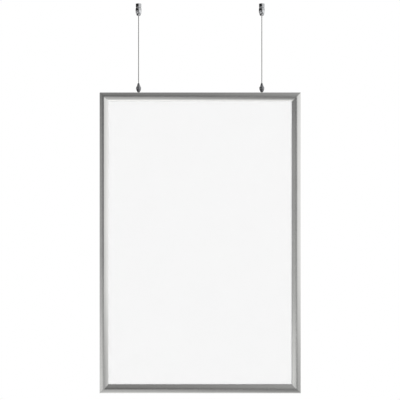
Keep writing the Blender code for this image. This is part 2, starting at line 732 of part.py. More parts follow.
def make_suspension(chrome, steel, swing):
    bored = math.asin(CABLE_BORE / STOP_RADIUS)
    stop_profile = ball(STOP_RADIUS, SWING_Z, bored, math.pi - bored, FACE_STEPS // 2)
    stop = turned("cable_stop", stop_profile, HIDDEN_SEGMENTS)
    step = (CABLE_END_Z - CABLE_TOP_Z) / CABLE_STEPS
    route = [(0, 0, CABLE_TOP_Z + step * i) for i in range(CABLE_STEPS + 1)]
    cable = tube("cable", route, CABLE_RADIUS, 2)
    wire = COIL_WIRE / 2
    coil_radius = FLANGE_RADIUS - wire
    coil_top, coil_bottom = FLANGE_BOTTOM_Z - SEAT_GAP - wire, CAVITY_FLOOR_Z + SEAT_GAP + wire
    coil = tube("nipple_spring", coil_points(coil_top, coil_bottom, coil_radius), wire, 1)
    print("nipple spring, least gap between turns:", (coil_top - coil_bottom) / COIL_TURNS - COIL_WIRE)
    nipple = turned("release_nipple", nipple_profile(), VISIBLE_SEGMENTS)
    pear = turned("gripper_body", pear_profile(), VISIBLE_SEGMENTS)
    stud = turned("ball_stud", stud_profile(), HIDDEN_SEGMENTS)
    for hand, x in SIDE_X.items():
        where = Matrix.Translation((x, 0, 0))
        add(f"cable_stop_{hand}", stop, steel, swing, where)
        add(f"cable_{hand}", cable, steel, swing, where)
        add(f"gripper_body_{hand}", pear, chrome, swing, where)
        add(f"nipple_spring_{hand}", coil, steel, swing, where)
        add(f"ball_stud_{hand}", stud, steel, swing, where)
        add(f"release_nipple_{hand}", nipple, chrome, swing, where)


# Hanger blocks

def make_hanger_blocks(zinc, frame):
    """Blocks in the top rail's chamber. Each ball goes in from below and hangs under the block's lip."""
    width = CHAMBER_WIDTH - 2 * SEAT_GAP
    size = (BLOCK_LENGTH, CHAMBER_DEPTH - 2 * SEAT_GAP, width)
    block = box("hanger_block", size)
    block_top = TILT_Z + BLOCK_TOP_RISE
    middle = block_top - width / 2
    throat = math.asin(STUD_THROAT_RADIUS / STUD_SEAT_RADIUS)
    mouth = STUD_THROAT_RADIUS + BLOCK_LIP * math.tan(TILT_ANGLE)
    seat = ball(STUD_SEAT_RADIUS, TILT_Z - middle, throat, math.pi / 2, FACE_STEPS // 2)
    top = block_top - middle
    flare = mouth + CUT_OVERRUN * math.tan(TILT_ANGLE)
    profile = [
        (0, top + CUT_OVERRUN),
        (flare, top + CUT_OVERRUN),
        *seat,
        (STUD_SEAT_RADIUS, -top - CUT_OVERRUN),
        (0, -top - CUT_OVERRUN),
    ]
    socket = turned("ball_socket", profile, VISIBLE_SEGMENTS)
    for hand, x in SIDE_X.items():
        body = add(f"hanger_block_{hand}", block, zinc, frame, Matrix.Translation((x, 0, middle)))
        cut(body, f"ball_socket_{hand}", socket)


def main():
    for thing in list(bpy.data.objects):
        bpy.data.objects.remove(thing)
    aluminium = finish("anodised_aluminium", (0.56, 0.56, 0.55), 1.0, 0.32)
    chrome = finish("chromed_brass", (0.75, 0.75, 0.75), 1.0, 0.06)
    steel = finish("stainless_steel", (0.55, 0.55, 0.54), 1.0, 0.25)
    zinc = finish("zinc_casting", (0.42, 0.43, 0.44), 0.9, 0.5)
    board = finish("foamed_pvc_board", (0.86, 0.86, 0.85), 0.0, 0.7)
    paper = finish("blank_poster_paper", (0.92, 0.92, 0.92), 0.0, 0.6)
    clear = finish("clear_anti_glare_sheet", (0.95, 0.95, 0.95), 0.0, 0.35, 0.2)
    swing = pivot("swing_axis", Vector((0, 0, SWING_Z)))
    frame = pivot("tilt_axis", Vector((0, 0, TILT_Z)), swing)
    make_ceiling_fittings(chrome)
    make_suspension(chrome, steel, swing)
    make_hanger_blocks(zinc, frame)
    make_base_rails(aluminium, frame)
    make_snap_rails(aluminium, frame)
    make_leaf_springs(steel, frame)
    make_corner_keys(zinc, steel, frame)
    make_sheets(board, paper, clear, frame)
    print("frame", FRAME_WIDTH, "x", FRAME_HEIGHT, "hung", -FRAME_TOP_Z, "below the ceiling")
    print("swing axis at", SWING_Z, "and tilt axis at", TILT_Z)


main()
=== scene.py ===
# %% [markdown]
# # A snap poster frame on two cables
# A double-sided poster frame of satin anodised aluminium hangs from a ceiling. Eight mitred rails
# turn open on beads to let the posters in. Two wire ropes carry it, between chromed ceiling
# fittings and pear-shaped grippers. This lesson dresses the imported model: the pieces that the eye
# rests on are built again more finely, and every other piece gets a finish of its own.

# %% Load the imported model
import math

import bpy
from mathutils import Matrix, Vector


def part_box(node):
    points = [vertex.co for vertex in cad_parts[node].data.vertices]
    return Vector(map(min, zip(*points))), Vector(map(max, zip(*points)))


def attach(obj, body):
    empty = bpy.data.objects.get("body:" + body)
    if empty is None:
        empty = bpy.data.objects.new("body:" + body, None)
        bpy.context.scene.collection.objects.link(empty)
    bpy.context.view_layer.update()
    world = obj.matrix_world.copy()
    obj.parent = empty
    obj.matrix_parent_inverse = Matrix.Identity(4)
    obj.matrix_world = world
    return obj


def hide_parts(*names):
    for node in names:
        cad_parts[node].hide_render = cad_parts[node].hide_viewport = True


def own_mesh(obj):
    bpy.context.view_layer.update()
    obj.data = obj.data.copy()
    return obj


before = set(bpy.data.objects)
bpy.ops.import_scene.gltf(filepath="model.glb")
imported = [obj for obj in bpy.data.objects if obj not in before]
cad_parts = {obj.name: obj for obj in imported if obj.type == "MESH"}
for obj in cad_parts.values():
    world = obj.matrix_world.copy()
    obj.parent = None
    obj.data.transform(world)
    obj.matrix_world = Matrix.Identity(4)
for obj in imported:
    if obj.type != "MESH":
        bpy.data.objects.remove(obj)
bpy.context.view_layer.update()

# %% [markdown]
# ## The camera
# The photograph looks straight at the front. The frame is 718 mm wide and 201 pixels wide in the
# picture, so one pixel is about 3.57 mm, and the 400 pixels are 1.43 m. A long lens hardly shows
# the rails' sides, as in the photograph, and its distance follows from that width. It is counted
# from the hinges, 8.6 mm in front of the frame's middle, about where its outline lies.

# %% Set the camera
MM = 0.001
PIXEL = 3.5665 * MM
PICTURE = 400
LENS = 85 * MM
SENSOR = 36 * MM
HINGE_Y = -8.6 * MM
VIEW_CENTRE = (-0.2 * PIXEL, -701.3 * MM)

camera = bpy.data.cameras.new("camera")
camera.lens = LENS / MM
camera.sensor_width = SENSOR / MM
eye = bpy.data.objects.new("camera", camera)
bpy.context.collection.objects.link(eye)
distance = PICTURE * PIXEL * LENS / SENSOR
eye.location = (VIEW_CENTRE[0], HINGE_Y - distance, VIEW_CENTRE[1])
eye.rotation_euler = (math.pi / 2, 0, 0)
bpy.context.scene.camera = eye
bpy.context.scene.view_settings.view_transform = "Standard"
print("camera", round(distance, 3), "m in front of the hinges")

# %% [markdown]
# ## Two helpers for node trees
# Every tree below, of a material, the world or Geometry Nodes, is a list of nodes and wires. One
# helper adds a node with its settings and its wires, so a tree reads from its first node to its
# last. A wire that is given a whole node takes its first output. Colours are written as on a
# screen, and Blender counts in linear light, so one function turns the one into the other.

# %% Node and colour helpers


def node(tree, kind, *wires, **settings):
    """Adds a node. Each wire is (input's name or number, a value, an output or a node)."""
    made = tree.nodes.new(kind)
    for key, value in settings.items():
        setattr(made, key, value)
    for place, value in wires:
        if isinstance(value, bpy.types.Node):
            value = value.outputs[0]
        if isinstance(value, bpy.types.NodeSocket):
            tree.links.new(value, made.inputs[place])
        else:
            made.inputs[place].default_value = value
    return made


def linear(hex_colour):
    """An sRGB hex colour, such as "#F7F7F7", as linear red, green, blue and alpha."""
    parts = [int(hex_colour[i : i + 2], 16) / 255 for i in (1, 3, 5)]
    return (*[c / 12.92 if c <= 0.04045 else ((c + 0.055) / 1.055) ** 2.4 for c in parts], 1)


print("mid grey", [round(part, 3) for part in linear("#808080")])

# %% [markdown]
# ## Helpers for Geometry Nodes and pieces
# A tree for Geometry Nodes has its sizes as named inputs, and it always ends in the same two
# nodes, which turn copies into real geometry and lay the material on it. Its result is turned into
# a plain mesh before the piece is shown, so nothing live is left on it. Each piece is told which
# body it moves with and which plain node it stands for.

# %% Helpers for trees and pieces


def geometry_tree(name, inputs):
    """A Geometry Nodes tree with a geometry in and out and named inputs (name, kind, value)."""
    tree = bpy.data.node_groups.new(name, "GeometryNodeTree")
    tree.interface.new_socket("Geometry", in_out="INPUT", socket_type="NodeSocketGeometry")
    tree.interface.new_socket("Geometry", in_out="OUTPUT", socket_type="NodeSocketGeometry")
    for label, kind, value in inputs:
        socket = tree.interface.new_socket(label, in_out="INPUT", socket_type=f"NodeSocket{kind}")
        if value is not None:
            socket.default_value = value
    return tree, tree.nodes.new("NodeGroupInput")


def close_tree(tree, geometry, material):
    """Ends a tree as every tree here ends: real geometry, with its material on it."""
    real = node(tree, "GeometryNodeRealizeInstances", ("Geometry", geometry))
    dressed = node(tree, "GeometryNodeSetMaterial", ("Geometry", real), ("Material", material))
    node(tree, "NodeGroupOutput", (0, dressed))


def grown(name, seed_data, tree, **values):
    """The mesh that a tree makes of seed_data, with the tree's inputs set by their identifiers."""
    seed = bpy.data.objects.new(name, seed_data)
    bpy.context.collection.objects.link(seed)
    grow = seed.modifiers.new(name, "NODES")
    grow.node_group = tree
    for item in tree.interface.items_tree:
        key = item.name.lower().replace(" ", "_")
        if item.item_type == "SOCKET" and item.in_out == "INPUT" and key in values:
            grow[item.identifier] = values[key]
    ready = seed.evaluated_get(bpy.context.evaluated_depsgraph_get())
    mesh = bpy.data.meshes.new_from_object(ready)
    bpy.data.objects.remove(seed)
    mesh.name = name
    return mesh


def show(name, mesh, body, slot, *nodes):
    """Puts a finished mesh in the scene, on its body, in place of the CAD nodes."""
    piece = bpy.data.objects.new(name, mesh)
    bpy.context.collection.objects.link(piece)
    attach(piece, body)
    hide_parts(*nodes)
    return piece


def rounded_off(mesh, angle=30):
    """Shades the mesh smooth, apart from edges that turn by more than the angle in degrees."""
    mesh.shade_smooth()
    mesh.set_sharp_from_angle(angle=math.radians(angle))
    return mesh


# %% [markdown]
# ## Helpers for finishes
# No real surface is the same all over. Each finish below varies a little in tone, in gloss and in
# relief, and a noise of a real size drives each. The values of a noise texture hardly leave the
# middle of its range, so that part is stretched over what is wanted.

# %% Helpers for finishes
NOISE_RANGE = (0.3, 0.7)
SPAN = ("From Min", "From Max", "To Min", "To Max")


def blank_finish(name, metallic, alpha=1.0):
    """A new material, with its tree, its shader and the coordinates of the piece it is on."""
    material = bpy.data.materials.new(name)
    material.use_nodes = True
    tree = material.node_tree
    shader = tree.nodes["Principled BSDF"]
    shader.inputs["Metallic"].default_value = metallic
    shader.inputs["Alpha"].default_value = alpha
    return material, tree, shader, node(tree, "ShaderNodeTexCoord").outputs["Object"]


def vary(tree, shader, colour, tone, gloss, relief):
    """Drives tone and gloss by (noise, low, high) and relief by (noise, strength, depth)."""
    driven = []
    for noise, low, high in (tone, gloss):
        ends = zip(SPAN, (*NOISE_RANGE, low, high))
        driven.append(node(tree, "ShaderNodeMapRange", ("Value", noise), *ends))
    shade, roughness = driven
    tinted = node(
        tree,
        "ShaderNodeMix",
        ("Factor", 1.0),
        ("A", linear(colour)),
        ("B", shade),
        data_type="RGBA",
        blend_type="MULTIPLY",
    )
    noise, strength, depth = relief
    bump = node(
        tree, "ShaderNodeBump", ("Strength", strength), ("Distance", depth), ("Height", noise)
    )
    tree.links.new(tinted.outputs["Result"], shader.inputs["Base Color"])
    tree.links.new(roughness.outputs[0], shader.inputs["Roughness"])
    tree.links.new(bump.outputs[0], shader.inputs["Normal"])


print("every noise is used from", NOISE_RANGE[0], "to", NOISE_RANGE[1])

# %% [markdown]
# ## Finish: satin anodised aluminium
# The rails are extruded, etched matt and anodised in natural silver. The etch scatters the light,
# so the rails show no sharp reflection, only broad soft bands that follow their curves. The die
# leaves fine lines along the length. Real die lines are about 0.1 mm apart, far finer than a
# pixel, so they are drawn 0.6 mm apart here, faint in the gloss and in the bump. A slow change of
# tone along a rail stands for the small differences in etch.

# %% Make the aluminium
SATIN_COLOUR, SATIN_ROUGHNESS = "#DCDCDA", 0.2
DIE_LINE = 0.6 * MM
DIE_LINE_RUN = 250 * MM
DIE_GLOSS = 0.05
DIE_RELIEF = 0.02 * MM
DIE_BUMP = 0.25
ETCH_PATCH = 120 * MM
ETCH_TONE = 0.96


def satin_aluminium(name, run_axis):
    """Anodised aluminium whose die lines run along the axis 0 (X) or 2 (Z)."""
    material, tree, shader, place = blank_finish(name, 1)
    scale = [1 / DIE_LINE] * 3
    scale[run_axis] = 1 / DIE_LINE_RUN
    drawn = node(tree, "ShaderNodeMapping", ("Vector", place), ("Scale", scale))
    lines = node(tree, "ShaderNodeTexNoise", ("Vector", drawn), ("Scale", 1.0), ("Detail", 2.0))
    patches = node(
        tree, "ShaderNodeTexNoise", ("Vector", place), ("Scale", 1 / ETCH_PATCH), ("Detail", 1.0)
    )
    tone = (patches, ETCH_TONE, 1.0)
    gloss = (lines, SATIN_ROUGHNESS - DIE_GLOSS, SATIN_ROUGHNESS + DIE_GLOSS)
    vary(tree, shader, SATIN_COLOUR, tone, gloss, (lines, DIE_BUMP, DIE_RELIEF))
    return material


ALUMINIUM = {
    "across": satin_aluminium("satin_aluminium_across", 0),
    "upright": satin_aluminium("satin_aluminium_upright", 2),
}
print("die lines drawn", DIE_LINE / MM, "mm apart, real ones about 0.1 mm")

# %% [markdown]
# ## The other finishes
# Chrome plate on turned brass is a mirror: its colour is the room's, and only the faint waves of
# the polish and a little roughness soften it. The grippers and nipples take a darker copy of the
# same plate, a painted shade for the dark reflection on them. The springs and set screws are
# bright stainless steel. The ropes are of the same steel, painted darker as a painted shade for
# the gaps between their wires, which are 0.28 mm thick. The keys and hanger blocks are zinc
# castings with a grainy skin. The sheets are foamed PVC board, smooth poster paper and a clear
# plastic sheet with a matt side, which takes the glare off but hardly dims the poster.
# One function makes them all: a grain of the real size in tone, gloss and relief, stretched
# upwards where the surface is drawn, as wire is.

# %% Make the other finishes
GRAIN_BUMP = 0.3


def plain_finish(name, colour, metallic, roughness, grain, size, relief, alpha=1.0, stretch=1):
    """One colour, with a noise of the grain's size in its tone, gloss and relief."""
    material, tree, shader, place = blank_finish(name, metallic, alpha)
    scale = (1 / size, 1 / size, 1 / (size * stretch))
    grained = node(tree, "ShaderNodeMapping", ("Vector", place), ("Scale", scale))
    noise = node(tree, "ShaderNodeTexNoise", ("Vector", grained), ("Scale", 1.0), ("Detail", 3.0))
    tone = (noise, 1 - grain, 1.0)
    gloss = (noise, roughness * (1 - grain), roughness * (1 + grain))
    vary(tree, shader, colour, tone, gloss, (noise, GRAIN_BUMP, relief))
    return material


# Each has its name, colour, metallic, roughness, and its grain's strength, size and depth.
CHROME = plain_finish("chrome_plate", "#C6C7C9", 1, 0.07, 0.06, 6 * MM, 0.002 * MM)
# Painted shade: the chrome painted darker for the dark reflection on the grippers and nipples.
SHADED_CHROME = plain_finish("dark_chrome_plate", "#88898C", 1, 0.07, 0.06, 6 * MM, 0.002 * MM)
STEEL = plain_finish("stainless_steel", "#C9C8C5", 1, 0.24, 0.1, 2 * MM, 0.005 * MM)
# Painted shade: the rope's steel painted darker for the shade in the gaps between its wires.
ROPE_WIRE_SHADED = plain_finish("rope_wire", "#6A6864", 1, 0.34, 0.35, 0.28 * MM, 0.05 * MM, stretch=20)
ZINC = plain_finish("zinc_casting", "#A3A5A8", 1, 0.5, 0.15, 0.8 * MM, 0.03 * MM)
BOARD = plain_finish("foamed_pvc_board", "#EFEFEC", 0, 0.7, 0.03, 1.5 * MM, 0.02 * MM)
PAPER = plain_finish("poster_paper", "#F7F7F7", 0, 0.6, 0.01, 0.7 * MM, 0.005 * MM)
CLEAR = plain_finish("anti_glare_sheet", "#FFFFFF", 0, 0.4, 0.05, 0.5 * MM, 0.01 * MM, alpha=0.05)
print("finishes:", ", ".join(material.name for material in bpy.data.materials))

# %% [markdown]
# ## Dress the CAD pieces
# The base rails, keys, screws, leaf springs, blocks, studs, ball stops and sheets have the right
# shape already, so they stay and only take their finish. The die lines of a base rail run along
# it, so upright rails take one material and level rails the other.

# %% Give the CAD nodes their finishes
FINISHES = {
    "base_rail_top": ALUMINIUM["across"],
    "base_rail_bottom": ALUMINIUM["across"],
    "base_rail_left": ALUMINIUM["upright"],
    "base_rail_right": ALUMINIUM["upright"],
    "corner_key": ZINC,
    "hanger_block": ZINC,
    "key_screw": STEEL,
    "leaf_spring": STEEL,
    "cable_stop": STEEL,
    "ball_stud": STEEL,
    "centre_panel": BOARD,
    "poster": PAPER,
    "cover_sheet": CLEAR,
}
dressed = 0
for name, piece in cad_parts.items():
    for start, material in FINISHES.items():
        if name.startswith(start):
            piece.data.materials.clear()
            piece.data.materials.append(material)
            dressed += 1
print(dressed, "CAD nodes dressed, of", len(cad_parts))

# %% [markdown]
# ## The wire ropes
# Each rope is seven bundles of thin wire laid in a spiral, 2.5 mm thick, and held taut by the
# frame's weight. Six bundles show, round the one in the middle, and a tube would look like a rod.
# So a rosette of six lobes is swept down the rope's line and turned as it goes: the curve's own
# tilt does the turning, once for every lay of 16 mm.

# %% Turn the rope's line as it goes down
SPACING = 440.7 * MM
ROPE_TOP = -34.894 * MM
ROPE_END = -308.4 * MM
ROPE_DIAMETER = 2.5 * MM
ROPE_LAY = 16 * MM
RINGS_PER_LAY = 18.0

rope_tree, rope_in = geometry_tree(
    "wire_rope",
    [
        ("Diameter", "Float", ROPE_DIAMETER),
        ("Lay", "Float", ROPE_LAY),
        ("Rings Per Lay", "Float", RINGS_PER_LAY),
        ("Material", "Material", None),
    ],
)
pace = node(
    rope_tree,
    "ShaderNodeMath",
    (0, rope_in.outputs["Lay"]),
    (1, rope_in.outputs["Rings Per Lay"]),
    operation="DIVIDE",
)
line = node(rope_tree, "GeometryNodeMeshToCurve", ("Mesh", rope_in.outputs["Geometry"]))
ringed = node(
    rope_tree, "GeometryNodeResampleCurve", ("Curve", line), ("Length", pace), mode="LENGTH"
)
along = node(rope_tree, "GeometryNodeSplineParameter").outputs["Length"]
lays = node(
    rope_tree, "ShaderNodeMath", (0, along), (1, rope_in.outputs["Lay"]), operation="DIVIDE"
)
turns = node(rope_tree, "ShaderNodeMath", (0, lays), (1, math.tau), operation="MULTIPLY")
laid = node(rope_tree, "GeometryNodeSetCurveTilt", ("Curve", ringed), ("Tilt", turns))
print("rope turns once in", ROPE_LAY / MM, "mm")

# %% [markdown]
# The rosette is a circle whose points are drawn in towards its centre between the bundles. Their
# bearing from the centre says where they are: the absolute value of a cosine has two humps a turn,
# so three waves make six bundles.

# %% Sweep the rosette along it
BUNDLES = 6
GROOVE_SHARE = 0.24
ROSETTE_POINTS = 48

half = node(
    rope_tree, "ShaderNodeMath", (0, rope_in.outputs["Diameter"]), (1, 0.5), operation="MULTIPLY"
)
circle = node(
    rope_tree, "GeometryNodeCurvePrimitiveCircle", ("Resolution", ROSETTE_POINTS), ("Radius", half)
)
spot = node(rope_tree, "GeometryNodeInputPosition").outputs[0]
parts = node(rope_tree, "ShaderNodeSeparateXYZ", (0, spot))
bearing = node(
    rope_tree,
    "ShaderNodeMath",
    (0, parts.outputs["Y"]),
    (1, parts.outputs["X"]),
    operation="ARCTAN2",
)
waves = node(rope_tree, "ShaderNodeMath", (0, bearing), (1, BUNDLES / 2), operation="MULTIPLY")
wave = node(rope_tree, "ShaderNodeMath", (0, waves), operation="COSINE")
lobe = node(rope_tree, "ShaderNodeMath", (0, wave), operation="ABSOLUTE")
swell = node(
    rope_tree,
    "ShaderNodeMath",
    (0, lobe),
    (1, GROOVE_SHARE),
    (2, 1 - GROOVE_SHARE),
    operation="MULTIPLY_ADD",
)
lobed = node(rope_tree, "ShaderNodeVectorMath", (0, spot), ("Scale", swell), operation="SCALE")
rosette = node(rope_tree, "GeometryNodeSetPosition", ("Geometry", circle), ("Position", lobed))
rope = node(
    rope_tree,
    "GeometryNodeCurveToMesh",
    ("Curve", laid),
    ("Profile Curve", rosette),
    ("Fill Caps", True),
)
close_tree(rope_tree, rope, rope_in.outputs["Material"])
print("rosette of", BUNDLES, "bundles,", ROPE_DIAMETER / MM, "mm thick")

# %% [markdown]
# Each rope runs straight down from its ball stop in the ceiling barrel to the floor of the cavity
# in its gripper. It shows from end to end in the photograph, so that is its whole length.

# %% Grow the two ropes
ROPE_STEPS = 44
WIRE_ANGLE = 60
SIDES = {"left": -SPACING / 2, "right": SPACING / 2}
levels = [ROPE_TOP + (ROPE_END - ROPE_TOP) * i / ROPE_STEPS for i in range(ROPE_STEPS + 1)]
for hand, x in SIDES.items():
    route = [(x, 0, level) for level in levels]
    line_mesh = bpy.data.meshes.new(f"rope_line_{hand}")
    line_mesh.from_pydata(route, [(i, i + 1) for i in range(ROPE_STEPS)], [])
    mesh = grown(f"wire_rope_{hand}", line_mesh, rope_tree, material=ROPE_WIRE_SHADED)
    rounded_off(mesh, WIRE_ANGLE)
    piece = show(f"wire_rope_{hand}", mesh, "suspension", "stainless_steel", f"cable_{hand}")
    lays_laid = (ROPE_TOP - ROPE_END) / ROPE_LAY
    print(piece.name, len(mesh.polygons), "faces,", round(lays_laid, 1), "lays")

# %% [markdown]
# ## The snap rails
# A snap rail is one extrusion, cut to length and mitred: a socket that turns on the base rail's
# bead, two bowed faces that meet at a fine groove on the crest, and a foot that presses the clear
# sheet. Its section is drawn first, in millimetres, u inwards from the frame's edge and v
# outwards. It is made of arcs, so the first helpers find points, bearings and crossings of
# circles.

# %% Helpers for arcs


def arc(centre, radius, start, end, steps):
    """Points round a centre, from one bearing to another."""
    turns = [start + (end - start) * i / steps for i in range(steps + 1)]
    return [(centre[0] + radius * math.cos(t), centre[1] + radius * math.sin(t)) for t in turns]


def bearing_of(centre, point):
    return math.atan2(point[1] - centre[1], point[0] - centre[0])


def bowed(start, end, bulge):
    """Centre and radius of the circle through start and end that rises over them by bulge."""
    half = math.dist(start, end) / 2
    radius = (half**2 + bulge**2) / (2 * bulge)
    way = ((end[0] - start[0]) / (2 * half), (end[1] - start[1]) / (2 * half))
    drop = radius - bulge
    middle = ((start[0] + end[0]) / 2, (start[1] + end[1]) / 2)
    return (middle[0] + way[1] * drop, middle[1] - way[0] * drop), radius


def crossing(centre_a, radius_a, centre_b, radius_b):
    """Where two circles cross, on the right of the way from the first centre to the second."""
    span = math.dist(centre_a, centre_b)
    ahead = (radius_a**2 - radius_b**2 + span**2) / (2 * span)
    aside = math.sqrt(radius_a**2 - ahead**2)
    way = ((centre_b[0] - centre_a[0]) / span, (centre_b[1] - centre_a[1]) / span)
    return (
        centre_a[0] + ahead * way[0] + aside * way[1],
        centre_a[1] + ahead * way[1] - aside * way[0],
    )


print("an arc 10 mm long that rises 1 mm has radius", bowed((0, 0), (10, 0), 1)[1], "mm")

# %% [markdown]
# No die has sharp corners, and light that runs round an eased edge is what makes metal look real.
# So each corner is cut back a little on both sides and rounded between the cuts. On the rails that
# is 0.3 mm, and on a short line never more than 0.45 of it, so that two cuts can't meet.

# %% Ease the corners of an outline
LARGEST_CUT = 0.45


def eased(loop, reach, steps=3, sharp=35, keep=()):
    """Rounds each corner that turns by more than sharp degrees, but none that is in keep."""
    out = []
    for i, point in enumerate(loop):
        before, after = loop[i - 1], loop[(i + 1) % len(loop)]
        turn = bearing_of(point, after) - bearing_of(before, point)
        turn = (turn + math.pi) % math.tau - math.pi
        if point in keep or abs(turn) < math.radians(sharp):
            out.append(point)
            continue
        cuts = []
        for other in (before, after):
            span = math.dist(point, other)
            share = min(reach, LARGEST_CUT * span) / span
            cuts.append([p + (q - p) * share for p, q in zip(point, other)])
        for k in range(steps + 1):
            t = k / steps
            weights = ((1 - t) ** 2, 2 * t * (1 - t), t**2)
            trios = zip(cuts[0], point, cuts[1])
            out.append(tuple(sum(w * c for w, c in zip(weights, trio)) for trio in trios))
    return out


def anticlockwise(loop):
    """A closed loop in the order that has its inside on the left."""
    area = sum(a[0] * b[1] - b[0] * a[1] for a, b in zip(loop, loop[1:] + loop[:1]))
    return loop if area > 0 else loop[::-1]


print("a square has", len(eased([(0, 0), (9, 0), (9, 9), (0, 9)], 1)), "points once it is eased")

# %% [markdown]
# The section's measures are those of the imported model's rail: a bead of 3 mm to turn on, 0.3 mm of
# room round it, and walls of 1.2 and 1.3 mm. The crest stands 13.5 mm over the frame's middle.

# %% Draw the rail's section
HINGE = (3.0, 8.6)
BEAD, CLEARANCE, SOCKET_WALL = 1.5, 0.3, 1.2
SOCKET = BEAD + CLEARANCE + SOCKET_WALL
SOCKET_FROM, SOCKET_TO = math.radians(-60), math.radians(150)
RAIL_WIDTH, RAIL_THICKNESS = 31.0, 1.3
CREST = 13.5
OUTER_BULGE, INNER_BULGE = 0.7, 1.0
GROOVE_WIDTH, GROOVE_FLOOR, GROOVE_DEPTH = 0.9, 0.36, 0.5
FOOT_FROM, FOOT_WIDTH, EDGE_HEIGHT = 5.0, 1.4, 1.6
EASE = 0.3

outer_from = arc(HINGE, SOCKET, SOCKET_TO, SOCKET_TO, steps=1)[0]
outer_to = ((RAIL_WIDTH - GROOVE_WIDTH) / 2, CREST)
inner_from = ((RAIL_WIDTH + GROOVE_WIDTH) / 2, CREST)
inner_to = (RAIL_WIDTH, FOOT_FROM + EDGE_HEIGHT)
outer_centre, outer_radius = bowed(outer_from, outer_to, OUTER_BULGE)
inner_centre, inner_radius = bowed(inner_from, inner_to, INNER_BULGE)
under_outer, under_inner = outer_radius - RAIL_THICKNESS, inner_radius - RAIL_THICKNESS
foot_u = RAIL_WIDTH - FOOT_WIDTH
foot_turn = math.acos((foot_u - inner_centre[0]) / under_inner)
joined = crossing(outer_centre, under_outer, HINGE, SOCKET)
outer_turns = (bearing_of(outer_centre, outer_from), bearing_of(outer_centre, outer_to))
inner_turns = (bearing_of(inner_centre, inner_from), bearing_of(inner_centre, inner_to))
section = (
    arc(HINGE, BEAD + CLEARANCE, SOCKET_FROM, SOCKET_TO, steps=20)
    + arc(outer_centre, outer_radius, *outer_turns, steps=30)
    + [
        ((RAIL_WIDTH - GROOVE_FLOOR) / 2, CREST - GROOVE_DEPTH),
        ((RAIL_WIDTH + GROOVE_FLOOR) / 2, CREST - GROOVE_DEPTH),
    ]
    + arc(inner_centre, inner_radius, *inner_turns, steps=30)
    + [(RAIL_WIDTH, FOOT_FROM), (foot_u, FOOT_FROM)]
    + arc(inner_centre, under_inner, foot_turn, inner_turns[0], steps=24)
    + arc(outer_centre, under_outer, outer_turns[1], bearing_of(outer_centre, joined), steps=20)
    + arc(HINGE, SOCKET, bearing_of(HINGE, joined), SOCKET_FROM, steps=12)[1:]
)
section = eased(section, EASE)
wide = max(u for u, v in section) - min(u for u, v in section)
print("rail section", len(section), "points,", round(wide, 2), "mm wide")

# %% [markdown]
# The rail's two ends are mitred at 45 degrees, but a plain mitre would catch on its neighbour as
# the rail swings open, because the points under the hinge come inwards first. So each point of the
# section keeps, as an attribute, how far in it ever comes, and the tree pulls the end back by that
# much. The tree stretches the flat section into a bar between its two mitred ends.

# %% Say how far each point swings in
OPEN = math.radians(90)


def swing_in(u, v):
    """How far inwards past its shut place a point comes while the rail opens, in millimetres."""
    reach = math.hypot(u - HINGE[0], v - HINGE[1])
    start = math.atan2(v - HINGE[1], u - HINGE[0])
    ends = max(math.cos(start), math.cos(start + OPEN))
    return (reach if start < 0 < start + OPEN else reach * ends) - (u - HINGE[0])


def flat_section():
    """The section as one face in the YZ plane that looks along +X, with its swing_in attribute."""
    loop = anticlockwise(section)
    mesh = bpy.data.meshes.new("rail_section")
    mesh.from_pydata([(0, u * MM, v * MM) for u, v in loop], [], [range(len(loop))])
    pull = mesh.attributes.new("swing_in", "FLOAT", "POINT")
    pull.data.foreach_set("value", [swing_in(u, v) * MM for u, v in loop])
    return mesh


print("the socket swings in", round(max(swing_in(u, v) for u, v in section), 2), "mm")

# %% [markdown]
# The tree extrudes the flat section by one metre and closes the end that was left behind. Then
# each point goes to its own end: half the rail's length, less how far in the point lies, how far
# it swings in and the mitre's gap. The bar's X runs from 0 to 1, so 2 X - 1 is the side that a
# point goes to.

# %% Build the rail's tree
GAP_SQUARE_TO_MITRE = 0.3
MITRE_GAP = GAP_SQUARE_TO_MITRE / math.sqrt(2) * MM
WELD_WITHIN = 0.001 * MM

rail_tree, rail_in = geometry_tree(
    "mitred_rail",
    [
        ("Length", "Float", 1.0),
        ("Mitre Gap", "Float", MITRE_GAP),
        ("Material", "Material", None),
    ],
)
face = rail_in.outputs["Geometry"]
stretched = node(
    rail_tree,
    "GeometryNodeExtrudeMesh",
    ("Mesh", face),
    ("Offset", (1, 0, 0)),
    ("Individual", False),
    mode="FACES",
)
back = node(rail_tree, "GeometryNodeFlipFaces", ("Mesh", face))
whole = node(rail_tree, "GeometryNodeJoinGeometry", ("Geometry", stretched), ("Geometry", back))
flat_place = node(rail_tree, "GeometryNodeInputPosition").outputs[0]
here = node(rail_tree, "ShaderNodeSeparateXYZ", (0, flat_place))
side = node(
    rail_tree,
    "ShaderNodeMath",
    (0, here.outputs["X"]),
    (1, 2.0),
    (2, -1.0),
    operation="MULTIPLY_ADD",
)
half_length = node(
    rail_tree, "ShaderNodeMath", (0, rail_in.outputs["Length"]), (1, 0.5), operation="MULTIPLY"
)
pulled = node(
    rail_tree, "GeometryNodeInputNamedAttribute", ("Name", "swing_in"), data_type="FLOAT"
)
lost = node(rail_tree, "ShaderNodeMath", (0, here.outputs["Y"]), (1, pulled), operation="ADD")
lost_more = node(
    rail_tree, "ShaderNodeMath", (0, lost), (1, rail_in.outputs["Mitre Gap"]), operation="ADD"
)
reach = node(rail_tree, "ShaderNodeMath", (0, half_length), (1, lost_more), operation="SUBTRACT")
end = node(rail_tree, "ShaderNodeMath", (0, side), (1, reach), operation="MULTIPLY")
placed = node(
    rail_tree,
    "ShaderNodeCombineXYZ",
    ("X", end),
    ("Y", here.outputs["Y"]),
    ("Z", here.outputs["Z"]),
)
mitred = node(rail_tree, "GeometryNodeSetPosition", ("Geometry", whole), ("Position", placed))
welded = node(
    rail_tree, "GeometryNodeMergeByDistance", ("Geometry", mitred), ("Distance", WELD_WITHIN)
)
close_tree(rail_tree, welded, rail_in.outputs["Material"])
